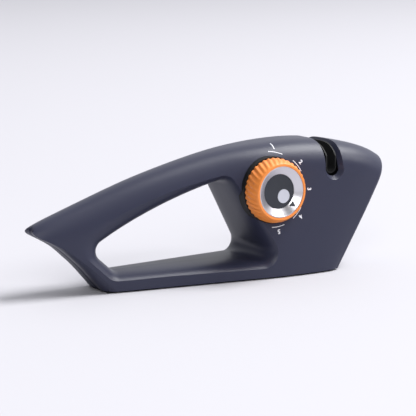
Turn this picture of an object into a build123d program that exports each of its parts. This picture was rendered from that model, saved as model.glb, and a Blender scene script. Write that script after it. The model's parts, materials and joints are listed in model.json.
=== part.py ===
from build123d import *
import os
from math import acos, atan2, cos, degrees, hypot, pi, radians, sin, tan

os.makedirs("parts", exist_ok=True)

# Depths are measured from the joint plane of the shells: positive to the dial side (-Y).

# Body
body_length = 229.0
body_height = 76.0
head_width = 52.6
wall = 2.6
floor_wall = 3.0
end_round = 3.2
end_round_steps = 3
overrun = 12.0
# Each rib leans from the floor to the ridge: floor x, ridge x, ridge z, half widths there, squareness.
rib_shares = [
    (-0.345, -0.508, 0.452, 0.224, 0.162, 0.0),
    (-0.283, -0.438, 0.559, 0.259, 0.196, 0.0),
    (-0.223, -0.338, 0.665, 0.297, 0.217, 0.0),
    (-0.153, -0.228, 0.776, 0.333, 0.240, 0.0),
    (-0.081, -0.112, 0.871, 0.375, 0.268, 0.1),
    (-0.001, -0.002, 0.943, 0.419, 0.306, 0.3),
    (0.074, 0.073, 0.974, 0.460, 0.351, 0.65),
    (0.139, 0.156, 0.993, 0.490, 0.388, 1.0),
    (0.209, 0.259, 0.998, 0.500, 0.408, 1.0),
    (0.274, 0.363, 0.962, 0.493, 0.418, 1.0),
    (0.303, 0.430, 0.912, 0.477, 0.418, 0.9),
    (0.314, 0.484, 0.840, 0.458, 0.412, 0.6),
]
# The side of a rib: how far up, then how far out where it is round and where it is square.
side_shares = [
    (0.0, 1.0, 1.0), (0.30, 1.0, 1.0), (0.55, 0.985, 0.998), (0.74, 0.935, 0.985),
    (0.885, 0.80, 0.925), (0.975, 0.48, 0.64), (1.0, 0.0, 0.0),
]
end_drop_share = 0.6
# The hollow of the head, in the same kind of ribs.
hollow_shares = [
    (0.183, 0.062, 0.970, 0.498, 0.345, 0.6),
    (0.212, 0.190, 0.995, 0.500, 0.394, 1.0),
    (0.250, 0.306, 0.983, 0.498, 0.412, 1.0),
    (0.284, 0.393, 0.938, 0.490, 0.419, 1.0),
    (0.311, 0.478, 0.848, 0.462, 0.411, 0.6),
]

# Underside of the tail: its curve in the side view, and how its edges are rounded across the width
tail_shares = [
    (-0.297, -0.04), (-0.313, 0.026), (-0.329, 0.082), (-0.347, 0.145), (-0.367, 0.209), (-0.389, 0.271),
    (-0.410, 0.328), (-0.430, 0.370), (-0.459, 0.420), (-0.476, 0.450), (-0.484, 0.480), (-0.479, 0.513),
    (-0.464, 0.557), (-0.430, 0.640),
]
tail_edge_shares = [(0.0, 0.0), (0.125, 0.0), (0.165, 0.002), (0.205, 0.008), (0.245, 0.02), (0.30, 0.06)]

# Grip opening: outline at the joint plane and where it flares out at the faces
gap_shares = [(-0.336, 0.311), (-0.156, 0.569), (0.021, 0.747), (0.136, 0.141), (-0.273, 0.141)]
gap_face_shares = [(-0.356, 0.322), (-0.171, 0.650), (0.018, 0.800), (0.158, 0.105), (-0.290, 0.105)]
gap_flare_shares = [
    (0.15, 0.0), (0.40, 0.06), (0.56, 0.22), (0.68, 0.50),
    (0.76, 0.85), (0.82, 1.3), (0.87, 2.0), (0.92, 3.0),
]
gap_corner = 5.5
gap_corner_flare = 2.0
# The faces beside the opening run out towards the nose and in towards the ridge.
gap_run_share = 0.1158
gap_lean_share = 0.08

# Base pad
pad_proud = 1.0
pad_seat = 1.2
pad_inset = 2.6
pad_clear = 0.15

# Blade slot and its liner
slot_x_share = 0.3135
slot_width = 5.4
slot_floor_share = 0.746
guide_wall = 0.8
guide_clear = 0.1
guide_inset = 1.4
guide_end_share = 0.354
slot_chamfer = 3.2
slot_flare = 2.4
chamfer_lead_share = 0.4

# Dial place and fits
dial_place_shares = (0.131, 0.66)
dial_rest_deg = -43.0
run_clear = 0.05
seat_clear = 0.1
face_clear = 0.3
drive_wall = 2.7
bezel_r = 18.7
bezel_depth_shares = (0.295, 0.403)
boss_rim = 2.2
bush_r = 6.0
spindle_r = 4.0

# Dial
grip_lift = 0.4
grip_r = 18.3
grip_depth = 9.7
grip_level_shares = [(0.0, 1.0, 1.0), (0.30, 1.0, 1.0), (0.72, 0.951, 0.8), (1.0, 0.863, 0.0)]
flute_depth = 0.55
flute_count = 36
flute_points = 4
flute_twist_deg = 12.0
grip_hollow_r = 14.6
grip_hollow_depth = 3.8
hub_r = 8.0
ring_r = 14.4
ring_seat_depth = 4.1
ring_lip = 0.5
ring_lip_drop = 0.3
ring_thin = 1.2
disc_r = 9.8
disc_thick = 1.0
dot_r = 3.9
dot_offset = 4.2
dot_seat = 0.6
dot_proud = 0.15
pointer_tip_gap = 1.0
pointer_base_gap = 0.6
pointer_width = 3.8
dial_screw_r = 1.5
dial_screw_length = 10.0
dial_screw_head_r = 3.0
dial_screw_head = 1.6
hub_floor = 1.1

# Gears
dial_teeth = 27
idler_teeth = 23
turret_teeth = 15
mesh_slack_share = 1.0186
gear_thick_share = 0.076
gear_gap = 0.5
room_gap = 1.0
tip_share = 0.80
root_share = 1.10
backlash = 0.2
pressure_deg = 20.0
flank_points = 5
idler_pin_r = 2.5
idler_pin_seat = 4.5
idler_boss_r = 5.0
idler_clip_r = 4.6
clip_thick = 0.6
clip_groove = 0.6
clip_gap = 0.3

# Detent
wheel_r = 11.0
wheel_thick = 3.0
wheel_notch_r = 2.2
wheel_notch_lift = 0.8
wheel_notches = 9
spindle_clip_r = 6.5
spindle_tail = 0.8
spring_thick = 0.6
spring_wide = 2.6
spring_half_span = 13.0
spring_end = 1.5
post_wide = 4.0
post_high = 4.0

# Turret with its five stations
turret_z_share = 0.586
drum_r_share = 0.23
drum_length_share = 0.251
drum_clear = 0.8
axle_r = 2.0
axle_seat = 4.5
axle_boss_r = 5.5
washer_r = 5.0
washer_thick = 0.5
turret_hub_r = 6.0
stations = 5
notch_width = 6.4
notch_floor_r = 6.8
element_inner_r = 4.6
element_sink = 0.3
element_cross_r = 8.0
element_spread = 2.6
rod_r = 1.2
bread_rod_r = 0.9
blade_thick = 1.6
blade_wide = 4.0
rod_cross_deg = 22.0
blade_cross_deg = 20.0
scissor_cross_deg = 12.0

# Shell screws
screw_place_shares = [(-0.398, 0.447), (-0.096, 0.757), (0.222, 0.132), (0.432, 0.70), (0.227, 0.895)]
screw_r = 1.45
screw_bite = 8.0
screw_seat = 5.0
screw_head_r = 2.9
screw_head = 2.2
screw_boss_r = 4.2
plug_r = 3.3
plug_gap = 0.3


def depth_plane(depth):
    return Plane.XZ.offset(depth)


def bar(face, back, front):
    return extrude(depth_plane(back) * face, amount=front - back)


def rod(x, z, radius, back, front):
    return bar(Pos(x, z) * Circle(radius), back, front)


def tube(x, z, outer, inner, back, front):
    return bar(Pos(x, z) * (Circle(outer) - Circle(inner)), back, front)


def block(x0, x1, z0, z1, back, front):
    return bar(Pos((x0 + x1) / 2, (z0 + z1) / 2) * Rectangle(x1 - x0, z1 - z0), back, front)


def rib_size(shares):
    return (shares[0] * body_length, shares[1] * body_length, shares[2] * body_height,
            shares[3] * head_width, shares[4] * head_width, shares[5])


def side_at(square):
    return [(out + (far - out) * square, up) for up, out, far in side_shares]


def rib_face(x_floor, x_ridge, z_ridge, floor_half, ridge_half, square, inset=0.0, lift=0.0):
    lean = Vector(x_ridge - x_floor, 0, z_ridge - pad_proud)
    way = lean.normalized()
    start = Vector(x_floor, 0, pad_proud) + way * lift
    tall = lean.length - inset - lift
    low = floor_half - inset
    high = ridge_half - inset
    plane = Plane(origin=start, x_dir=(0, -1, 0), z_dir=(-way.Z, 0, way.X))
    points = [((low + (high - low) * up) * out, tall * up) for out, up in side_at(square)]
    side = Spline(*points, tangents=[(high - low, tall), (-1, 0)])
    return plane * make_face([Line((0, 0), (low, 0)), side, Line((0, tall), (0, 0))])


def rounded_end(rib):
    faces = [rib_face(*rib)]
    for step in range(1, end_round_steps + 1):
        turn = radians(90.0 * step / end_round_steps)
        out = end_round * sin(turn)
        inset = end_round * (1 - cos(turn))
        z_ridge = rib[2] - out * end_drop_share
        faces.append(rib_face(rib[0] + out, rib[1] + out, z_ridge, rib[3], rib[4], rib[5], inset))
    return loft(faces)


def gap_face(depth, blend):
    points = []
    for near, far in zip(gap_shares, gap_face_shares):
        x = (near[0] + (far[0] - near[0]) * blend) * body_length
        z = (near[1] + (far[1] - near[1]) * blend) * body_height
        points.append((x, z))
    face = make_face([
        ThreePointArc(points[0], points[1], points[2]),
        Line(points[2], points[3]),
        Line(points[3], points[4]),
        Line(points[4], points[0]),
    ])
    face = fillet(face.vertices(), gap_corner + gap_corner_flare * blend)
    return Plane(origin=(0, -depth, 0), x_dir=(1, -gap_run_share, 0),
                 z_dir=(-gap_run_share, -1, gap_lean_share)) * face


def rib_at(x):
    table = [rib_size(shares) for shares in rib_shares]
    for low, high in zip(table, table[1:]):
        if low[1] <= x <= high[1]:
            part = (x - low[1]) / (high[1] - low[1])
            return [a + (b - a) * part for a, b in zip(low, high)]
    return list(table[-1])


def tail_face(depth, shift):
    points = [(x * body_length + shift, z * body_height) for x, z in tail_shares]
    far_x = -body_length
    edge = Spline(*points)
    rest = Polyline(points[-1], (far_x, points[-1][1]), (far_x, points[0][1]), points[0])
    return depth_plane(depth) * make_face([edge, rest])


def upright_rib(x, inset):
    rib = rib_at(x)
    return rib_face(x, x, rib[2], rib[3], rib[4], rib[5], inset)


def half_width(x, z):
    rib = rib_at(x)
    up = (z - pad_proud) / (rib[2] - pad_proud)
    side = side_at(rib[5])
    for low, high in zip(side, side[1:]):
        if low[1] <= up <= high[1]:
            part = (up - low[1]) / (high[1] - low[1])
            out = low[0] + (high[0] - low[0]) * part
            return (rib[3] + (rib[4] - rib[3]) * up) * out
    return 0.0


def mirrored(shape):
    return mirror(shape, about=Plane.XZ)


def group(shapes):
    return Compound(children=[solid for shape in shapes for solid in shape.solids()])


def save(name, shape):
    export_step(shape, "parts/" + name + ".step")


# Places that follow from the sizes
half_head = head_width / 2
slot_x = slot_x_share * body_length
slot_floor_z = slot_floor_share * body_height
guide_end_depth = guide_end_share * head_width
dial_x = dial_place_shares[0] * body_length
dial_z = dial_place_shares[1] * body_height
bezel_back = bezel_depth_shares[0] * head_width
bezel_front = bezel_depth_shares[1] * head_width
gear_thick = gear_thick_share * head_width
turret_z = turret_z_share * body_height
drum_r = drum_r_share * body_height
drum_length = drum_length_share * head_width
element_outer_r = drum_r - element_sink
ribs = [rib_size(shares) for shares in rib_shares]
deep = half_head + overrun
slot_half = slot_width / 2
notch_half = slot_half + guide_wall + guide_clear
slot_round_z = slot_floor_z + slot_half
drive_front = bezel_back - drive_wall
gear_front = drive_front - gear_gap
gear_back = gear_front - gear_thick
wheel_front = gear_back - face_clear
wheel_back = wheel_front - wheel_thick
turret_apart = hypot(slot_x - dial_x, turret_z - dial_z)
dial_idler_units = (dial_teeth + idler_teeth) / 2
idler_turret_units = (idler_teeth + turret_teeth) / 2
module = turret_apart * mesh_slack_share / (dial_idler_units + idler_turret_units)
dial_idler = module * dial_idler_units
idler_turret = module * idler_turret_units
line_turn = atan2(turret_z - dial_z, slot_x - dial_x)
idler_cos = (dial_idler ** 2 + turret_apart ** 2 - idler_turret ** 2) / (2 * dial_idler * turret_apart)
idler_turn = line_turn - acos(idler_cos)
idler_x = dial_x + dial_idler * cos(idler_turn)
idler_z = dial_z + dial_idler * sin(idler_turn)
dial_gear_tip = module * (dial_teeth / 2 + tip_share)
drum_front = drum_length / 2
drum_back = -drum_length / 2
screws = [(x * body_length, z * body_height) for x, z in screw_place_shares]
spring_z = dial_z + wheel_r + wheel_notch_lift + spring_thick / 2
spring_front = wheel_front - (wheel_thick - spring_wide) / 2
spring_back = spring_front - spring_wide

# Outside of one half of the body
outer = loft([rib_face(*rib) for rib in ribs])
outer = outer + rounded_end(ribs[-1])
outer = outer - loft([tail_face(y * head_width, x * body_length) for y, x in tail_edge_shares])
outer = outer - extrude(gap_face(-overrun, 0), amount=deep + overrun, dir=(0, -1, 0))
outer = outer - loft([gap_face(y * half_head, blend) for y, blend in gap_flare_shares])

# Blade slot with its chamfer, which runs on past the face
slot_top = body_height + overrun
outer = outer - block(slot_x - notch_half, slot_x + notch_half, slot_round_z, slot_top, -overrun, deep)
outer = outer - rod(slot_x, slot_round_z, notch_half, -overrun, deep)
chamfer_lead = slot_chamfer * chamfer_lead_share
flare_reach = slot_flare * (1 + chamfer_lead_share)
for way in (-1, 1):
    near = slot_x + way * notch_half
    far = near + way * flare_reach
    keep = loft([upright_rib(far, -chamfer_lead), upright_rib(near, slot_chamfer)])
    slab = block(min(near, far), max(near, far), slot_round_z, slot_top, 0, deep)
    outer = outer - (slab - keep)
slot_face = half_width(slot_x, slot_round_z)
cone_plane = depth_plane(slot_face - slot_chamfer) * Pos(slot_x, slot_round_z)
cone_align = (Align.CENTER, Align.CENTER, Align.MIN)
cone_deep = slot_chamfer + chamfer_lead
cone = cone_plane * Cone(notch_half, notch_half + flare_reach, cone_deep, align=cone_align)
outer = outer - cone

# Pad outline under the body
pad_points = [(rib[0], rib[3] - pad_inset) for rib in ribs]
pad_points[0] = (tail_shares[1][0] * body_length + pad_inset, pad_points[1][1])
pad_points[-1] = (ribs[-1][0] - pad_inset, pad_points[-1][1])
pad_loop = pad_points + [(x, -y) for x, y in reversed(pad_points)]
pad_face = make_face(Polyline(*pad_loop, close=True))
pad_top = pad_proud + pad_seat
base_pad = extrude(pad_face, amount=pad_top)
pad_room = Pos(0, 0, -overrun) * extrude(offset(pad_face, pad_clear), amount=pad_top + overrun)

# Hollow of the head, screw posts and bores common to both halves
hollow = loft([rib_face(*rib_size(shares), wall, floor_wall) for shares in hollow_shares])
shell = outer - hollow
for x, z in screws:
    shell = shell + (rod(x, z, screw_boss_r, 0, deep) & outer)

# Front shell: dial seat, drive room, posts, bosses
front = shell - rod(dial_x, dial_z, dial_gear_tip + room_gap, 0, drive_front)
seat_boss = rod(dial_x, dial_z, bezel_r + boss_rim, drive_front, deep) & outer
front = front + seat_boss
front = front + (rod(idler_x, idler_z, idler_boss_r, drive_front, deep) & outer)
front = front + (rod(slot_x, turret_z, axle_boss_r, drive_front, deep) & outer)
front = front - rod(dial_x, dial_z, bezel_r + seat_clear, bezel_back, deep)
front = front - rod(dial_x, dial_z, bush_r + run_clear, drive_front - overrun, bezel_back)
idler_seat = drive_front + idler_pin_seat
front = front - rod(idler_x, idler_z, idler_pin_r + run_clear, drive_front - overrun, idler_seat)
front = front - rod(slot_x, turret_z, axle_r + run_clear, drive_front - overrun, drive_front + axle_seat)
post_low = spring_z - post_high / 2
post_top = spring_z + post_high / 2
for way in (-1, 1):
    middle = dial_x + way * spring_half_span
    post_left = middle - post_wide / 2
    front = front + block(post_left, post_left + post_wide, post_low, post_top, spring_back, drive_front)
slit_reach = spring_half_span + post_wide / 2 + run_clear
slit = spring_thick / 2 + run_clear
front = front - block(dial_x - slit_reach, dial_x + slit_reach, spring_z - slit, spring_z + slit,
                      spring_back - overrun, spring_front + run_clear)
for x, z in screws:
    front = front - rod(x, z, screw_r + run_clear, -overrun, screw_bite + face_clear)
front = front - pad_room
save("front_housing", front)

# Rear shell: axle boss, screw bores and counterbores
rear_outer = mirrored(outer)
rear = mirrored(shell)
rear_boss = drum_back - washer_thick
rear = rear + (rod(slot_x, turret_z, axle_boss_r, -deep, rear_boss) & rear_outer)
rear = rear - rod(slot_x, turret_z, axle_r + run_clear, rear_boss - axle_seat, overrun)
for x, z in screws:
    rear = rear - rod(x, z, screw_r + run_clear, -screw_seat - overrun, overrun)
    rear = rear - rod(x, z, plug_r + run_clear, -deep, -screw_seat)
rear = rear - pad_room
save("rear_housing", rear)
save("base_pad", base_pad)

# Screws that join the shells, and the plugs over them
screw_set = []
plug_set = []
for x, z in screws:
    head = rod(x, z, screw_head_r, -screw_seat - screw_head, -screw_seat)
    screw_set.append(head + rod(x, z, screw_r, -screw_seat, screw_bite))
    plug_set.append(rod(x, z, plug_r, -deep, -screw_seat - screw_head - plug_gap) & rear_outer)
save("housing_screws", group(screw_set))
save("screw_plugs", group(plug_set))

# Liner of the blade slot
guide_half = slot_half + guide_wall
guide_left = slot_x - guide_half
guide_right = slot_x + guide_half
guide = block(guide_left, guide_right, slot_round_z, slot_top, -guide_end_depth, guide_end_depth)
guide = guide + rod(slot_x, slot_round_z, guide_half, -guide_end_depth, guide_end_depth)
guide = guide - block(slot_x - slot_half, slot_x + slot_half, slot_round_z, slot_top, -deep, deep)
guide = guide - rod(slot_x, slot_round_z, slot_half, -deep, deep)
guide_dome = extrude(upright_rib(slot_x, guide_inset), amount=guide_half + overrun, both=True)
guide = guide & (guide_dome + mirrored(guide_dome))
drum_room = drum_length / 2 + drum_clear
guide = guide - rod(slot_x, turret_z, drum_r + drum_clear, -drum_room, drum_room)
save("blade_guide", guide)

# Dial bezel and bush
save("dial_bezel", tube(dial_x, dial_z, bezel_r, bush_r + run_clear, bezel_back, bezel_front))
save("dial_bush", tube(dial_x, dial_z, bush_r, spindle_r + run_clear, drive_front, bezel_front))

# Fluted dial grip
grip_back = bezel_front + grip_lift
grip_front = grip_back + grip_depth


def flute_face(level_share, radius_share, flute_share):
    points = []
    count = flute_count * flute_points
    twist = radians(flute_twist_deg) * level_share
    for step in range(count):
        turn = 2 * pi * step / count
        cut = flute_depth * flute_share * (1 - cos(flute_count * turn)) / 2
        reach = grip_r * radius_share - cut
        points.append((reach * cos(turn + twist), reach * sin(turn + twist)))
    plane = depth_plane(grip_back + grip_depth * level_share)
    return plane * Pos(dial_x, dial_z) * make_face(Spline(*points, periodic=True))


ring_seat = grip_front - ring_seat_depth
hub_face = ring_seat - dial_screw_head - hub_floor
grip = loft([flute_face(*level) for level in grip_level_shares])
grip = grip - tube(dial_x, dial_z, grip_hollow_r, hub_r, grip_back - overrun, grip_back + grip_hollow_depth)
grip = grip - rod(dial_x, dial_z, ring_r + seat_clear, ring_seat, grip_front + overrun)
grip = grip - rod(dial_x, dial_z, spindle_r + run_clear, grip_back - overrun, hub_face)
grip = grip - rod(dial_x, dial_z, dial_screw_head_r + run_clear, ring_seat - dial_screw_head, grip_front)
grip = grip - rod(dial_x, dial_z, dial_screw_r + run_clear, hub_face - overrun, grip_front)
save("dial_grip", grip)

# Dished ring, pointer, disc and dot
ring_front = grip_front - ring_lip_drop
disc_front = ring_seat + disc_thick
ring_inner = disc_r + seat_clear
ring_low = ring_seat + ring_thin
ring_half = make_face(Polyline(
    (ring_inner, ring_seat), (ring_r, ring_seat), (ring_r, ring_front),
    (ring_r - ring_lip, ring_front), (ring_inner, ring_low), close=True))
ring_plane = Plane(origin=(dial_x, 0, dial_z), x_dir=(1, 0, 0), z_dir=(0, 0, 1))
ring = revolve(ring_plane * mirror(ring_half, about=Plane.XZ), axis=Axis((dial_x, 0, dial_z), (0, -1, 0)))
pointer_half = pointer_width / 2
pointer_tip = ring_r - pointer_tip_gap
pointer_base = ring_inner + pointer_base_gap
pointer_face = make_face(Polyline(
    (pointer_tip, 0), (pointer_base, pointer_half), (pointer_base, -pointer_half), close=True))
pointer_place = Pos(dial_x, dial_z) * Rot(0, 0, dial_rest_deg)
pointer_bar = bar(pointer_place * pointer_face, ring_seat + seat_clear, grip_front)
pointer = pointer_bar & ring
save("dial_pointer", pointer)
save("dial_ring", ring - pointer_bar)
dot_x = dial_x + dot_offset * cos(radians(dial_rest_deg))
dot_z = dial_z + dot_offset * sin(radians(dial_rest_deg))
disc = rod(dial_x, dial_z, disc_r, ring_seat, disc_front)
disc = disc - rod(dot_x, dot_z, dot_r + run_clear, disc_front - dot_seat, grip_front)
save("dial_disc", disc)
save("dial_dot", rod(dot_x, dot_z, dot_r, disc_front - dot_seat, disc_front + dot_proud))

# Spindle with its screw and clip
clip_front = wheel_back - clip_gap
clip_back = clip_front - clip_thick
spindle_back = clip_back - spindle_tail
spindle = rod(dial_x, dial_z, spindle_r, spindle_back, hub_face)
screw_end = ring_seat - dial_screw_head - dial_screw_length
spindle = spindle - rod(dial_x, dial_z, dial_screw_r + run_clear, screw_end - face_clear, hub_face)
groove = spindle_r - clip_groove
spindle = spindle - tube(dial_x, dial_z, spindle_r + overrun, groove, clip_back, clip_front)
save("dial_spindle", spindle)
dial_screw = rod(dial_x, dial_z, dial_screw_r, screw_end, ring_seat - dial_screw_head)
dial_screw = dial_screw + rod(dial_x, dial_z, dial_screw_head_r, ring_seat - dial_screw_head, ring_seat)
save("dial_screw", dial_screw)
save("spindle_clip", tube(dial_x, dial_z, spindle_clip_r, groove + run_clear, clip_back, clip_front))


def gear_outline(teeth, turn_deg):
    pitch = module * teeth / 2
    base = pitch * cos(radians(pressure_deg))
    tip = pitch + module * tip_share
    root = pitch - module * root_share
    half_tooth = (pi * module / 2 - backlash) / (2 * pitch)
    pitch_roll = tan(radians(pressure_deg)) - radians(pressure_deg)
    low = max(base, root)
    flank = []
    for step in range(flank_points):
        reach = low + (tip - low) * step / (flank_points - 1)
        slope = acos(base / reach)
        flank.append((reach, half_tooth + pitch_roll - (tan(slope) - slope)))
    points = []
    for tooth in range(teeth):
        middle = radians(turn_deg) + 2 * pi * tooth / teeth
        side = [(root, flank[0][1])] + flank if low > root else flank
        for reach, turn in side:
            points.append((reach * cos(middle - turn), reach * sin(middle - turn)))
        for reach, turn in reversed(side):
            points.append((reach * cos(middle + turn), reach * sin(middle + turn)))
    return make_face(Polyline(*points, close=True))


# Gear train: a tooth of one gear meets a gap of the next
idler_line = degrees(idler_turn)
turret_line = degrees(atan2(turret_z - idler_z, slot_x - idler_x))
idler_phase = idler_line + 180 + 180 / idler_teeth
turret_lag = turret_line - idler_phase
turret_phase = turret_line + 180 + turret_lag * idler_teeth / turret_teeth + 180 / turret_teeth
dial_gear = bar(Pos(dial_x, dial_z) * gear_outline(dial_teeth, idler_line), gear_back, gear_front)
dial_gear = dial_gear - rod(dial_x, dial_z, spindle_r + run_clear, gear_back, gear_front)
save("dial_gear", dial_gear)
idler_gear = bar(Pos(idler_x, idler_z) * gear_outline(idler_teeth, idler_phase), gear_back, gear_front)
idler_gear = idler_gear - rod(idler_x, idler_z, idler_pin_r + run_clear, gear_back, gear_front)
save("idler_gear", idler_gear)
turret_gear = bar(Pos(slot_x, turret_z) * gear_outline(turret_teeth, turret_phase), gear_back, gear_front)
turret_gear = turret_gear + rod(slot_x, turret_z, turret_hub_r, drum_front, gear_back)
turret_gear = turret_gear - rod(slot_x, turret_z, axle_r + run_clear, drum_front, gear_front)
save("turret_gear", turret_gear)

# Idler pin and clip
pin_clip_front = gear_back - clip_gap
pin_clip_back = pin_clip_front - clip_thick
pin_groove = idler_pin_r - clip_groove
idler_pin = rod(idler_x, idler_z, idler_pin_r, pin_clip_back - clip_gap, idler_seat)
groove_ring = tube(idler_x, idler_z, idler_pin_r + overrun, pin_groove, pin_clip_back, pin_clip_front)
idler_pin = idler_pin - groove_ring
save("idler_pin", idler_pin)
clip_bore = pin_groove + run_clear
save("idler_clip", tube(idler_x, idler_z, idler_clip_r, clip_bore, pin_clip_back, pin_clip_front))

# Detent wheel and leaf spring
wheel = rod(dial_x, dial_z, wheel_r, wheel_back, wheel_front)
notch_ring = wheel_r + wheel_notch_lift
for notch in range(wheel_notches):
    turn = radians(90) + 2 * pi * notch / wheel_notches
    wheel = wheel - rod(dial_x + notch_ring * cos(turn), dial_z + notch_ring * sin(turn), wheel_notch_r,
                        wheel_back, wheel_front)
wheel = wheel - rod(dial_x, dial_z, spindle_r + run_clear, wheel_back, wheel_front)
save("detent_wheel", wheel)
spring_reach = spring_half_span + spring_end
spring = block(dial_x - spring_reach, dial_x + spring_reach, spring_z - spring_thick / 2,
               spring_z + spring_thick / 2, spring_back, spring_front)
bump = rod(dial_x, dial_z + notch_ring, wheel_notch_r - face_clear, spring_back, spring_front)
bump = bump - block(dial_x - spring_reach, dial_x + spring_reach, spring_z, spring_z + overrun,
                    spring_back, spring_front)
save("detent_spring", spring + bump)

# Turret: drum, axle, washers and the five pairs of elements
save("turret_axle", rod(slot_x, turret_z, axle_r, rear_boss - axle_seat, drive_front + axle_seat))
washers = [tube(slot_x, turret_z, washer_r, axle_r + run_clear, gear_front, drive_front),
           tube(slot_x, turret_z, washer_r, axle_r + run_clear, rear_boss, drum_back)]
save("turret_washers", group(washers))


def element_pair(station, profile, cross_deg):
    pair = []
    station_deg = 90 - 360 / stations * station
    for way in (-1, 1):
        long = (element_outer_r - element_inner_r) / cos(radians(cross_deg))
        back = (element_cross_r - element_inner_r) / cos(radians(cross_deg))
        piece = extrude(Plane.XY * profile, amount=long)
        piece = Pos(0, 0, -back) * piece
        piece = Rot(0, way * cross_deg, 0) * piece
        piece = Pos(0, way * element_spread, element_cross_r) * piece
        piece = Rot(0, 90 - station_deg, 0) * piece
        pair.append(Pos(slot_x, 0, turret_z) * piece)
    return pair


rod_profile = Circle(rod_r)
bread_profile = Circle(bread_rod_r)
blade_profile = Rectangle(blade_thick, blade_wide)
elements = {
    "bread_knife_rods": element_pair(0, bread_profile, rod_cross_deg),
    "fine_rods": element_pair(1, rod_profile, rod_cross_deg),
    "coarse_rods": element_pair(2, rod_profile, rod_cross_deg),
    "carbide_blades": element_pair(3, blade_profile, blade_cross_deg),
    "scissor_blades": element_pair(4, blade_profile, scissor_cross_deg),
}
drum = rod(slot_x, turret_z, drum_r, drum_back, drum_front)
drum = drum - rod(slot_x, turret_z, axle_r + run_clear, drum_back, drum_front)
for station in range(stations):
    notch = block(-notch_width / 2, notch_width / 2, notch_floor_r, drum_r + overrun, drum_back, drum_front)
    drum = drum - Pos(slot_x, 0, turret_z) * (Rot(0, 360 / stations * station, 0) * notch)
for name, pair in elements.items():
    for piece in pair:
        drum = drum - piece
    save(name, group(pair))
save("turret_drum", drum)
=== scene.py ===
"""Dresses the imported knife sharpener: shells, dial, slot, numbers, inner drive and a plain stage."""
import json
from math import cos, pi, radians, sin

import bmesh
import bpy
from mathutils import Matrix, Vector
from mathutils.bvhtree import BVHTree


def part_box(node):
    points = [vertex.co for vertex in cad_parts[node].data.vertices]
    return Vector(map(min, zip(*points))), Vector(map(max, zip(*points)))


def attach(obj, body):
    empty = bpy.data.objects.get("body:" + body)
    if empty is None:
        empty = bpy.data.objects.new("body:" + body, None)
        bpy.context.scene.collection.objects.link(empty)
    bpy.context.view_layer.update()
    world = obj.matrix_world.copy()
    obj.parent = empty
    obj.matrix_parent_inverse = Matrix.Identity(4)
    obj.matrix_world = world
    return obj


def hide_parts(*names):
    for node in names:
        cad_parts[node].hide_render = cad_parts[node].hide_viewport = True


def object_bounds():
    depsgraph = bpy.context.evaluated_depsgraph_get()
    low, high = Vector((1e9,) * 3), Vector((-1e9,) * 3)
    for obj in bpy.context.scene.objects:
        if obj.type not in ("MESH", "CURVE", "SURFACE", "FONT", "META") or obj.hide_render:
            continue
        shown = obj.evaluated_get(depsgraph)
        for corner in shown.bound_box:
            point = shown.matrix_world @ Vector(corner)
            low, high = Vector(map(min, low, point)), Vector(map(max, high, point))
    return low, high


bl_info = {
    "name": "Knife Sharpener Dresser",
    "version": (1, 0, 0),
    "blender": (4, 5, 0),
    "location": "3D View > Sidebar > Sharpener",
    "description": "Gives the knife sharpener its finishes, printed numbers and stage",
    "category": "Object",
}

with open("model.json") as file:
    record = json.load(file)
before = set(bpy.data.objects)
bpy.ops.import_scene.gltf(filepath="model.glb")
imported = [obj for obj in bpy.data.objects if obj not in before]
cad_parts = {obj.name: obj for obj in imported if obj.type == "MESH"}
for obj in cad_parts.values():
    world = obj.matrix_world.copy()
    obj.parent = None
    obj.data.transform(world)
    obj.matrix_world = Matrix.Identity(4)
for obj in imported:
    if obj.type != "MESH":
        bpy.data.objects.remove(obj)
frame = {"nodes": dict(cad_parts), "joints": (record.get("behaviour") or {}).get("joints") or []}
CAD_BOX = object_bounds()
NODES = frame["nodes"]
MM = 0.001

# Corners of the CAD mesh that are nearer than this are one corner
MERGE_MM = 0.002

# Edges that turn more than this stay sharp: in general, round the slot and at the tail's end
SMOOTH_DEG = 20
CRISP_DEG = 9
SOFT_DEG = 70

# Dial settings, the pointer's place at rest and the arc under each number
SETTINGS = 5
POINTER_REST_DEG = -43.0
ARC_HALF_DEG = 11
ARC_STEPS = 16

# Font size over number height, and how the print is divided and merged to lie on the shell
FONT_SHARE = 1.4
PRINT_HALVINGS = 4
PRINT_MERGE_SHARE = 0.1

# Slow drift of tone over a moulding, and the darkness of the joint line
DRIFT_MM = 35
SEAM_CORE_SHARE = 0.4
SEAM_TONE = 0.75

# Turned rings and ground scratches, drawn coarser than real ones so that they show
TURNED_LINE_MM = 0.5
GROUND_LINE_MM = 0.3
GROUND_STRETCH = (1, 0.08, 1)
TOOL_MARK_MM = 0.02

# Sockets of a Mix node that mixes colours
MIX_FACTOR, MIX_A, MIX_B, MIX_RESULT = 0, 6, 7, 2

# Stage, in metres
FLOOR_HALF = 12
FLOOR_CLOUD_MM = 400
SKY_BRIGHT_WAY = (0.65, 0.6, 0.55)
SKY_SPREAD = (0.1, 1.0)
SKY_LEVELS = (0.03, 1.05)
CAMERA_SENSOR_MM = 36
CAMERA_LENS_MM = 155.8
CAMERA_REACH = 50
CAMERA_PLACE = (-0.5146, -0.8576, 0.21295)
CAMERA_AIM = (0.0007, 0.0, 0.03926)
LAMP_AIM = (0.0, 0.0, 0.04)
# Lamps: name, place, side and power in watts
LAMPS = (
    ("softbox_over", (2.7, -0.7, 4.1), 2.5, 300.0),
    ("softbox_front", (-2.0, -3.9, 2.4), 2.4, 106.0),
    ("softbox_right", (3.4, -2.4, 2.4), 1.0, 44.0),
)


def hex_linear(code):
    """sRGB hex to linear red, green and blue."""
    channels = [int(code[i:i + 2], 16) / 255 for i in (1, 3, 5)]
    return [c / 12.92 if c <= 0.04045 else ((c + 0.055) / 1.055) ** 2.4 for c in channels]


def colour_prop(name, words, code):
    """A colour that a user can change."""
    return bpy.props.FloatVectorProperty(
        name=name, description=words, default=hex_linear(code), size=3, subtype="COLOR", min=0, max=1)


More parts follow.
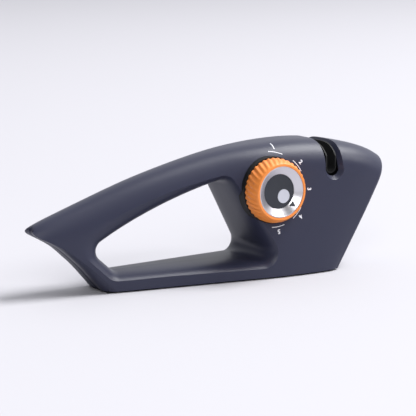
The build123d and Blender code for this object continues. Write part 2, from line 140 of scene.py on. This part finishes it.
def length_prop(name, words, millimetres):
    """A length that a user can change."""
    return bpy.props.FloatProperty(
        name=name, description=words, default=millimetres * MM, unit="LENGTH", min=0)


class SharpenerColours(bpy.types.PropertyGroup):
    """Colours of the finishes"""

    shell: colour_prop("Shell", "Soft-touch plastic of the two shells", "#323447")
    grip: colour_prop("Dial grip", "Fluted knob", "#fd9545")
    ring: colour_prop("Dial ring", "Turned ring in the knob", "#d5d3d8")
    disc: colour_prop("Dial disc", "Disc in the middle of the knob", "#2c2f38")
    dot: colour_prop("Dial dot", "Round inlay on the disc", "#d3d5e0")
    pointer: colour_prop("Dial pointer", "Triangle on the turned ring", "#2b2d36")
    # Black plastic: on the bezel its near black is also painted shade for the gap round the dial
    black: colour_prop("Black plastic", "Bezel and slot liner", "#07080b")
    pad: colour_prop("Pad", "Non-slip rubber under the base", "#141519")
    ink: colour_prop("Ink", "Numbers and marks beside the dial", "#e9eaf1")
    acetal: colour_prop("Acetal", "Plastic gears, detent wheel and washers", "#e6e3d8")
    steel: colour_prop("Steel", "Pins, clips, spring, screws and axle", "#b4b6ba")
    brass: colour_prop("Brass", "Dial bush and idler gear", "#b8954a")
    drum: colour_prop("Drum", "Drum that carries the sharpening elements", "#25272e")
    ceramic: colour_prop("Ceramic", "Fine and bread knife rods", "#f1efe8")
    grit: colour_prop("Grit", "Coarse rods", "#8a8c90")
    carbide: colour_prop("Carbide", "Knife and scissor blades", "#6f7278")
    floor: colour_prop("Floor", "Plain pale floor", "#c6c5cb")
    bounce: colour_prop("Floor bounce", "Light that the floor throws back on the sharpener", "#b2b2b8")
    sky: colour_prop("Sky", "Soft light from all round", "#f9faff")


class SharpenerSizes(bpy.types.PropertyGroup):
    """Sizes of the printed marks, the joint line and the shading zones"""

    number_height: length_prop("Number height", "Height of the printed numbers", 2.5)
    number_weight: length_prop("Number weight", "How far the strokes of the numbers are thickened", 0.12)
    number_ring: length_prop("Number ring", "Radius where the numbers stand round the dial", 23.8)
    mark_ring: length_prop("Mark ring", "Radius of the thin arc under each number", 21.0)
    mark_width: length_prop("Mark width", "Width of the thin arc under each number", 0.4)
    print_lift: length_prop("Print lift", "How far the print stands off the shell", 0.06)
    print_step: length_prop("Print step", "Longest edge of the print, so that it follows the shell", 0.5)
    slot_margin: length_prop("Slot margin", "How far round the slot the shell keeps crisp edges", 4.0)
    tail_zone: length_prop("Tail zone", "Length of the tail end that is shaded round", 14.0)
    seam_width: length_prop("Joint line", "Half width of the dark line where the shells meet", 0.16)


def node(tree, kind, settings=None, links=None):
    """Adds one shader node, sets its properties or sockets and links its inputs."""
    made = tree.nodes.new(kind)
    for key, value in (settings or {}).items():
        if isinstance(key, str) and hasattr(made, key):
            setattr(made, key, value)
        else:
            made.inputs[key].default_value = value
    for key, source in (links or {}).items():
        tree.links.new(source, made.inputs[key])
    return made


def opaque(colour, tone=1.0):
    """A colour as a socket takes it, made lighter or darker by a tone."""
    return [min(1.0, channel * tone) for channel in colour] + [1]


def start_material(name):
    """An empty material; returns it, its tree and the Object coordinates."""
    material = bpy.data.materials.new(name)
    material.use_nodes = True
    tree = material.node_tree
    tree.nodes.clear()
    return material, tree, node(tree, "ShaderNodeTexCoord").outputs["Object"]


def finish_material(tree, settings, links):
    """The surface shader of a material and its output."""
    shader = node(tree, "ShaderNodeBsdfPrincipled", settings, links)
    node(tree, "ShaderNodeOutputMaterial", None, {"Surface": shader.outputs[0]})


def joint_line(tree, place, paint, half_width):
    """Darkens the paint in a thin line at the plane where the shells meet."""
    split = node(tree, "ShaderNodeSeparateXYZ", None, {"Vector": place})
    away = node(tree, "ShaderNodeMath", {"operation": "ABSOLUTE"}, {0: split.outputs["Y"]})
    line = node(tree, "ShaderNodeMapRange", {
        "From Min": half_width * SEAM_CORE_SHARE, "From Max": half_width,
        "To Min": SEAM_TONE, "To Max": 1.0}, {"Value": away.outputs[0]})
    seamed = node(tree, "ShaderNodeMix", {
        "data_type": "RGBA", "blend_type": "MULTIPLY", MIX_FACTOR: 1.0},
        {MIX_A: paint, MIX_B: line.outputs[0]})
    return seamed.outputs[MIX_RESULT]


def moulded(name, colour, roughness, grain_mm, bump_mm, seam=0.0, tone=0.06, ior=1.5):
    """Injection-moulded plastic: even colour with a faint tone drift and a fine spark-eroded grain."""
    material, tree, place = start_material(name)
    drift = node(tree, "ShaderNodeTexNoise", {"Scale": 1 / (DRIFT_MM * MM), "Detail": 2.0}, {"Vector": place})
    tones = node(tree, "ShaderNodeMix", {
        "data_type": "RGBA", MIX_A: opaque(colour, 1 - tone), MIX_B: opaque(colour, 1 + tone)},
        {MIX_FACTOR: drift.outputs["Fac"]})
    paint = tones.outputs[MIX_RESULT]
    if seam:
        paint = joint_line(tree, place, paint, seam)
    grain = node(tree, "ShaderNodeTexNoise", {
        "Scale": 1 / (grain_mm * MM), "Detail": 3.0, "Roughness": 0.6}, {"Vector": place})
    gloss = node(tree, "ShaderNodeMapRange", {"To Min": roughness * 0.9, "To Max": roughness * 1.1},
                 {"Value": grain.outputs["Fac"]})
    bump = node(tree, "ShaderNodeBump", {"Strength": 0.5, "Distance": bump_mm * MM},
                {"Height": grain.outputs["Fac"]})
    finish_material(tree, {"IOR": ior}, {
        "Base Color": paint, "Roughness": gloss.outputs[0], "Normal": bump.outputs[0]})
    return material


def turned(name, colour, roughness, centre):
    """Lathe-turned metal: fine rings about the part's own axis catch the light as streaks."""
    material, tree, place = start_material(name)
    moved = node(tree, "ShaderNodeMapping", {"Location": (-centre[0], 0, -centre[1])}, {"Vector": place})
    flat = node(tree, "ShaderNodeVectorMath", {"operation": "MULTIPLY", 1: (1, 0, 1)}, {0: moved.outputs[0]})
    reach = node(tree, "ShaderNodeVectorMath", {"operation": "LENGTH"}, {0: flat.outputs[0]})
    rings = node(tree, "ShaderNodeTexNoise", {
        "noise_dimensions": "1D", "Scale": 1 / (TURNED_LINE_MM * MM), "Detail": 3.0},
        {"W": reach.outputs["Value"]})
    gloss = node(tree, "ShaderNodeMapRange", {"To Min": roughness * 0.75, "To Max": roughness * 1.25},
                 {"Value": rings.outputs["Fac"]})
    bump = node(tree, "ShaderNodeBump", {"Strength": 0.25, "Distance": TOOL_MARK_MM * MM},
                {"Height": rings.outputs["Fac"]})
    finish_material(tree, {"Base Color": opaque(colour), "Metallic": 1.0}, {
        "Roughness": gloss.outputs[0], "Normal": bump.outputs[0]})
    return material


def ground(name, colour, roughness):
    """Ground metal: short scratches along the depth of the part."""
    material, tree, place = start_material(name)
    drawn = node(tree, "ShaderNodeMapping", {"Scale": GROUND_STRETCH}, {"Vector": place})
    lines = node(tree, "ShaderNodeTexNoise", {"Scale": 1 / (GROUND_LINE_MM * MM), "Detail": 4.0},
                 {"Vector": drawn.outputs[0]})
    gloss = node(tree, "ShaderNodeMapRange", {"To Min": roughness * 0.8, "To Max": roughness * 1.3},
                 {"Value": lines.outputs["Fac"]})
    bump = node(tree, "ShaderNodeBump", {"Strength": 0.2, "Distance": TOOL_MARK_MM * MM},
                {"Height": lines.outputs["Fac"]})
    finish_material(tree, {"Base Color": opaque(colour), "Metallic": 1.0}, {
        "Roughness": gloss.outputs[0], "Normal": bump.outputs[0]})
    return material


def paint_nodes(names, material):
    """Gives CAD nodes their material."""
    for name in names:
        slots = NODES[name].data.materials
        slots.clear()
        slots.append(material)


def smooth_copy(name, body, material, zones=()):
    """A merged, smooth-shaded copy that stands for a CAD node; zones are boxes with their own limit."""
    work = bmesh.new()
    work.from_mesh(NODES[name].data)
    bmesh.ops.remove_doubles(work, verts=work.verts, dist=MERGE_MM * MM)
    for face in work.faces:
        face.smooth = True
    for edge in work.edges:
        middle = (edge.verts[0].co + edge.verts[1].co) / 2
        limit = SMOOTH_DEG
        for low, high, degrees in zones:
            if all(low[i] <= middle[i] <= high[i] for i in range(3)):
                limit = degrees
        edge.smooth = edge.calc_face_angle(pi) < radians(limit)
    mesh = bpy.data.meshes.new(name + "_skin")
    work.to_mesh(mesh)
    work.free()
    mesh.materials.clear()
    mesh.materials.append(material)
    skin = bpy.data.objects.new(name + "_skin", mesh)
    bpy.context.scene.collection.objects.link(skin)
    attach(skin, body)
    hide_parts(name)


def axis_of(name):
    """Where the axis of a round node crosses the plane of the shells' joint."""
    low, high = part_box(name)
    return (low.x + high.x) / 2, (low.z + high.z) / 2


class SHARPENER_OT_shells(bpy.types.Operator):
    """Smooth shells in soft-touch plastic, with the joint line, pad and screw plugs"""

    bl_idname = "sharpener.shells"
    bl_label = "Shells"

    def execute(self, context):
        colours = context.scene.sharpener_colours
        sizes = context.scene.sharpener_sizes
        # Soft-touch coated ABS: matt, with a broad soft highlight and no sparkle.
        slate = moulded("soft_touch_abs_slate", colours.shell, roughness=0.41, grain_mm=0.45, bump_mm=0.012,
                        seam=sizes.seam_width, tone=0.03, ior=1.4)
        slot_low, slot_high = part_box("blade_guide")
        margin = Vector((1, 1, 1)) * sizes.slot_margin
        tail_end = Vector((CAD_BOX[0][0] + sizes.tail_zone, CAD_BOX[1][1], CAD_BOX[1][2]))
        zones = ((slot_low - margin, slot_high + margin, CRISP_DEG), (CAD_BOX[0], tail_end, SOFT_DEG))
        for name in ("front_housing", "rear_housing"):
            smooth_copy(name, "housing", slate, zones)
        smooth_copy("screw_plugs", "housing", slate)
        # Moulded rubber: near black, dull, with a coarser grain.
        rubber = moulded("moulded_rubber_black", colours.pad, roughness=0.8, grain_mm=0.8, bump_mm=0.05)
        paint_nodes(["base_pad"], rubber)
        return {"FINISHED"}


class SHARPENER_OT_slot(bpy.types.Operator):
    """Black liner of the blade slot and black bezel behind the dial; on the bezel the near black is also
    painted shade
    """

    bl_idname = "sharpener.slot"
    bl_label = "Blade slot"

    def execute(self, context):
        # Nylon with carbon black: dull, and darker than the shells. On the bezel this near black is also
        # painted shade, standing in for the shaded gap round the knob.
        nylon = moulded("nylon_black", context.scene.sharpener_colours.black, roughness=0.7, grain_mm=0.5,
                        bump_mm=0.01)
        smooth_copy("blade_guide", "housing", nylon)
        smooth_copy("dial_bezel", "housing", nylon)
        return {"FINISHED"}


class SHARPENER_OT_dial(bpy.types.Operator):
    """Fluted knob with its turned ring, disc, dot and pointer"""

    bl_idname = "sharpener.dial"
    bl_label = "Dial"

    def execute(self, context):
        colours = context.scene.sharpener_colours
        # Satin ABS in a full orange: a soft gloss on each rib.
        orange = moulded("satin_abs_orange", colours.grip, roughness=0.42, grain_mm=0.4, bump_mm=0.008)
        smooth_copy("dial_grip", "dial", orange)
        # Turned aluminium: bright cone with fine rings.
        aluminium = turned("turned_aluminium", colours.ring, 0.32, axis_of("dial_disc"))
        smooth_copy("dial_ring", "dial", aluminium)
        # Satin ABS, dark and pale: flat and even, so that the dot reads clearly on the disc.
        dark = moulded("satin_abs_dark", colours.disc, roughness=0.38, grain_mm=0.35, bump_mm=0.006)
        smooth_copy("dial_disc", "dial", dark)
        pale = moulded("satin_abs_pale", colours.dot, roughness=0.4, grain_mm=0.35, bump_mm=0.006)
        smooth_copy("dial_dot", "dial", pale)
        # Lacquer in a recess: a dark matt triangle that doesn't mirror the ring.
        lacquer = moulded("pointer_lacquer", colours.pointer, roughness=0.45, grain_mm=0.35, bump_mm=0.006)
        paint_nodes(["dial_pointer"], lacquer)
        return {"FINISHED"}


class SHARPENER_OT_numbers(bpy.types.Operator):
    """Printed numbers one to five and a thin arc under each, laid on the front shell"""

    bl_idname = "sharpener.numbers"
    bl_label = "Numbers"

    def execute(self, context):
        sizes = context.scene.sharpener_sizes
        centre = axis_of("dial_disc")
        dial_turn = next(joint for joint in frame["joints"] if joint["name"] == "dial_turn")
        least, most = dial_turn["range_deg"]
        work = bmesh.new()
        for place in range(SETTINGS):
            turn = radians(POINTER_REST_DEG + most - place * (most - least) / (SETTINGS - 1))
            self.add_number(context, work, str(place + 1), turn, centre)
            self.add_arc(work, turn, centre, sizes)
        self.lay_on_shell(work, sizes)
        mesh = bpy.data.meshes.new("dial_numbers")
        work.to_mesh(mesh)
        work.free()
        # Pad-printed ink: pale, flat and matt, with no edge that catches light.
        ink = moulded("pad_printed_ink", context.scene.sharpener_colours.ink, roughness=0.6, grain_mm=0.3,
                      bump_mm=0.004)
        mesh.materials.append(ink)
        print_piece = bpy.data.objects.new("dial_numbers", mesh)
        context.scene.collection.objects.link(print_piece)
        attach(print_piece, "housing")
        return {"FINISHED"}

    def add_number(self, context, work, text, turn, centre):
        """One number with its top away from the dial."""
        sizes = context.scene.sharpener_sizes
        curve = bpy.data.curves.new("number_" + text, "FONT")
        curve.body = text
        curve.size = sizes.number_height * FONT_SHARE
        curve.align_x = "CENTER"
        curve.align_y = "CENTER"
        curve.offset = sizes.number_weight
        holder = bpy.data.objects.new("number_" + text, curve)
        context.scene.collection.objects.link(holder)
        context.view_layer.update()
        flat = bpy.data.meshes.new_from_object(holder.evaluated_get(context.evaluated_depsgraph_get()))
        bpy.data.objects.remove(holder)
        stand = Matrix.Rotation(pi / 2, 4, "X")
        spin = Matrix.Rotation(pi / 2 - turn, 4, "Y")
        reach = sizes.number_ring
        shift = Matrix.Translation((centre[0] + reach * cos(turn), 0, centre[1] + reach * sin(turn)))
        flat.transform(shift @ spin @ stand)
        work.from_mesh(flat)
        bpy.data.meshes.remove(flat)

    def add_arc(self, work, turn, centre, sizes):
        """A thin arc under one number, spun about the dial's axis."""
        half_turn = radians(ARC_HALF_DEG)
        start = turn - half_turn
        ends = []
        for reach in (sizes.mark_ring - sizes.mark_width / 2, sizes.mark_ring + sizes.mark_width / 2):
            ends.append(work.verts.new((centre[0] + reach * cos(start), 0, centre[1] + reach * sin(start))))
        edge = work.edges.new(ends)
        bmesh.ops.spin(work, geom=ends + [edge], cent=(centre[0], 0, centre[1]), axis=(0, -1, 0),
                       angle=2 * half_turn, steps=ARC_STEPS)

    def lay_on_shell(self, work, sizes):
        """Divides the flat print and drops it on the front shell, with its faces to the front."""
        for halving in range(PRINT_HALVINGS):
            long_edges = [edge for edge in work.edges if edge.calc_length() > sizes.print_step]
            bmesh.ops.subdivide_edges(work, edges=long_edges, cuts=1)
            bmesh.ops.triangulate(work, faces=work.faces)
        front_shell = bmesh.new()
        front_shell.from_mesh(NODES["front_housing"].data)
        tree = BVHTree.FromBMesh(front_shell)
        front_shell.free()
        for vert in work.verts:
            start = Vector((vert.co.x, CAD_BOX[0][1], vert.co.z))
            hit = tree.ray_cast(start, Vector((0, 1, 0)))[0]
            if hit is None:
                raise RuntimeError("A printed mark lies off the shell")
            vert.co.y = hit.y - sizes.print_lift
        bmesh.ops.remove_doubles(work, verts=work.verts, dist=sizes.print_lift * PRINT_MERGE_SHARE)
        work.normal_update()
        bmesh.ops.reverse_faces(work, faces=[face for face in work.faces if face.normal.y > 0])


class SHARPENER_OT_drive(bpy.types.Operator):
    """Finishes of the hidden gears, pins, clips, spring and screws"""

    bl_idname = "sharpener.drive"
    bl_label = "Drive"

    def execute(self, context):
        colours = context.scene.sharpener_colours
        # Natural acetal: milky white and slightly waxy.
        acetal = moulded("acetal_natural", colours.acetal, roughness=0.4, grain_mm=0.4, bump_mm=0.006)
        paint_nodes(["dial_gear", "turret_gear", "detent_wheel", "turret_washers"], acetal)
        # Ground steel: grey, with short scratches that stretch its highlights.
        steel = ground("ground_steel", colours.steel, 0.3)
        paint_nodes(["idler_pin", "idler_clip", "detent_spring", "housing_screws"], steel)
        paint_nodes(["turret_axle", "dial_spindle", "dial_screw", "spindle_clip"], steel)
        # Turned brass: warm, with fine rings about each part's own axis.
        for name in ("dial_bush", "idler_gear"):
            paint_nodes([name], turned("turned_brass", colours.brass, 0.3, axis_of(name)))
        return {"FINISHED"}


class SHARPENER_OT_turret(bpy.types.Operator):
    """Finishes of the drum and its five pairs of sharpening elements"""

    bl_idname = "sharpener.turret"
    bl_label = "Turret"

    def execute(self, context):
        colours = context.scene.sharpener_colours
        # Nylon with graphite: dark grey with a soft sheen.
        nylon = moulded("nylon_graphite", colours.drum, roughness=0.45, grain_mm=0.5, bump_mm=0.01)
        paint_nodes(["turret_drum"], nylon)
        # Fired alumina: warm white and smooth.
        ceramic = moulded("alumina_ceramic", colours.ceramic, roughness=0.35, grain_mm=0.25, bump_mm=0.006)
        paint_nodes(["bread_knife_rods", "fine_rods"], ceramic)
        # Diamond grit in a plated coat: grey, rough and speckled.
        grit = moulded("diamond_grit_plate", colours.grit, roughness=0.7, grain_mm=0.12, bump_mm=0.05)
        paint_nodes(["coarse_rods"], grit)
        # Ground tungsten carbide: darker than steel, with a fine sharp shine.
        carbide = ground("ground_carbide", colours.carbide, 0.28)
        paint_nodes(["carbide_blades", "scissor_blades"], carbide)
        return {"FINISHED"}


class SHARPENER_OT_stage(bpy.types.Operator):
    """Pale floor, soft studio light and the camera"""

    bl_idname = "sharpener.stage"
    bl_label = "Stage"

    def execute(self, context):
        scene = context.scene
        scene.view_settings.view_transform = "Standard"
        self.add_floor(scene)
        self.add_world(scene)
        for name, place, side, power in LAMPS:
            self.add_lamp(scene, name, place, side, power)
        self.add_camera(scene)
        return {"FINISHED"}

    def add_floor(self, scene):
        """A plain floor that looks pale and keeps the shadow."""
        work = bmesh.new()
        bmesh.ops.create_grid(work, x_segments=1, y_segments=1, size=FLOOR_HALF)
        mesh = bpy.data.meshes.new("floor")
        work.to_mesh(mesh)
        work.free()
        floor = bpy.data.objects.new("floor", mesh)
        scene.collection.objects.link(floor)
        material, tree, place = start_material("floor_paper")
        cloud = node(tree, "ShaderNodeTexNoise", {"Scale": 1 / (FLOOR_CLOUD_MM * MM)}, {"Vector": place})
        dull = node(tree, "ShaderNodeMapRange", {"To Min": 0.85, "To Max": 0.9},
                    {"Value": cloud.outputs["Fac"]})
        rays = node(tree, "ShaderNodeLightPath")
        mirrored = node(tree, "ShaderNodeMath", {"operation": "MAXIMUM"}, {
            0: rays.outputs["Is Camera Ray"], 1: rays.outputs["Is Glossy Ray"]})
        seen = node(tree, "ShaderNodeMath", {"operation": "MAXIMUM"}, {
            0: mirrored.outputs[0], 1: rays.outputs["Is Transmission Ray"]})
        # Paper looks pale, and throws back less light than it shows, as in a studio with dark walls.
        paper = node(tree, "ShaderNodeMix", {
            "data_type": "RGBA", MIX_A: opaque(scene.sharpener_colours.bounce),
            MIX_B: opaque(scene.sharpener_colours.floor)}, {MIX_FACTOR: seen.outputs[0]})
        finish_material(tree, {}, {"Base Color": paper.outputs[MIX_RESULT], "Roughness": dull.outputs[0]})
        mesh.materials.append(material)

    def add_world(self, scene):
        """Soft light that is brightest behind and above the sharpener, for the shine along its ridge."""
        world = bpy.data.worlds.new("studio")
        scene.world = world
        world.use_nodes = True
        tree = world.node_tree
        tree.nodes.clear()
        way = node(tree, "ShaderNodeTexCoord").outputs["Generated"]
        toward = node(tree, "ShaderNodeVectorMath", {
            "operation": "DOT_PRODUCT", 1: Vector(SKY_BRIGHT_WAY).normalized()}, {0: way})
        level = node(tree, "ShaderNodeMapRange", {
            "From Min": SKY_SPREAD[0], "From Max": SKY_SPREAD[1],
            "To Min": SKY_LEVELS[0], "To Max": SKY_LEVELS[1]}, {"Value": toward.outputs["Value"]})
        back = node(tree, "ShaderNodeBackground", {"Color": opaque(scene.sharpener_colours.sky)},
                    {"Strength": level.outputs[0]})
        node(tree, "ShaderNodeOutputWorld", None, {"Surface": back.outputs[0]})

    def add_lamp(self, scene, name, place, side, power):
        """One square softbox, turned to the sharpener."""
        lamp = bpy.data.lights.new(name, "AREA")
        lamp.shape = "SQUARE"
        lamp.size = side
        lamp.energy = power
        holder = bpy.data.objects.new(name, lamp)
        self.aim(holder, place, LAMP_AIM)
        scene.collection.objects.link(holder)

    def add_camera(self, scene):
        """The camera, at the photograph's place."""
        camera = bpy.data.objects.new("camera", bpy.data.cameras.new("camera"))
        camera.data.sensor_width = CAMERA_SENSOR_MM
        camera.data.lens = CAMERA_LENS_MM
        camera.data.clip_end = CAMERA_REACH
        self.aim(camera, CAMERA_PLACE, CAMERA_AIM)
        scene.collection.objects.link(camera)
        scene.camera = camera

    def aim(self, thing, place, target):
        """Puts a lamp or the camera in its place and turns it to a target."""
        thing.location = place
        thing.rotation_euler = (Vector(target) - Vector(place)).to_track_quat("-Z", "Y").to_euler()


class SHARPENER_PT_panel(bpy.types.Panel):
    """Lists the steps that dress the sharpener, with its colours and sizes"""

    bl_idname = "SHARPENER_PT_panel"
    bl_label = "Sharpener"
    bl_space_type = "VIEW_3D"
    bl_region_type = "UI"
    bl_category = "Sharpener"

    def draw(self, context):
        for step in STEPS:
            self.layout.operator("sharpener." + step)
        for group in (context.scene.sharpener_colours, context.scene.sharpener_sizes):
            for key in group.__annotations__:
                self.layout.prop(group, key)


STEPS = ("shells", "slot", "dial", "numbers", "drive", "turret", "stage")
CLASSES = (
    SharpenerColours, SharpenerSizes, SHARPENER_OT_shells, SHARPENER_OT_slot, SHARPENER_OT_dial,
    SHARPENER_OT_numbers, SHARPENER_OT_drive, SHARPENER_OT_turret, SHARPENER_OT_stage, SHARPENER_PT_panel,
)


def register():
    for item in CLASSES:
        bpy.utils.register_class(item)
    bpy.types.Scene.sharpener_colours = bpy.props.PointerProperty(type=SharpenerColours)
    bpy.types.Scene.sharpener_sizes = bpy.props.PointerProperty(type=SharpenerSizes)


def unregister():
    del bpy.types.Scene.sharpener_sizes
    del bpy.types.Scene.sharpener_colours
    for item in reversed(CLASSES):
        bpy.utils.unregister_class(item)


def main():
    register()
    for step in STEPS:
        getattr(bpy.ops.sharpener, step)()


if __name__ == "__main__":
    main()
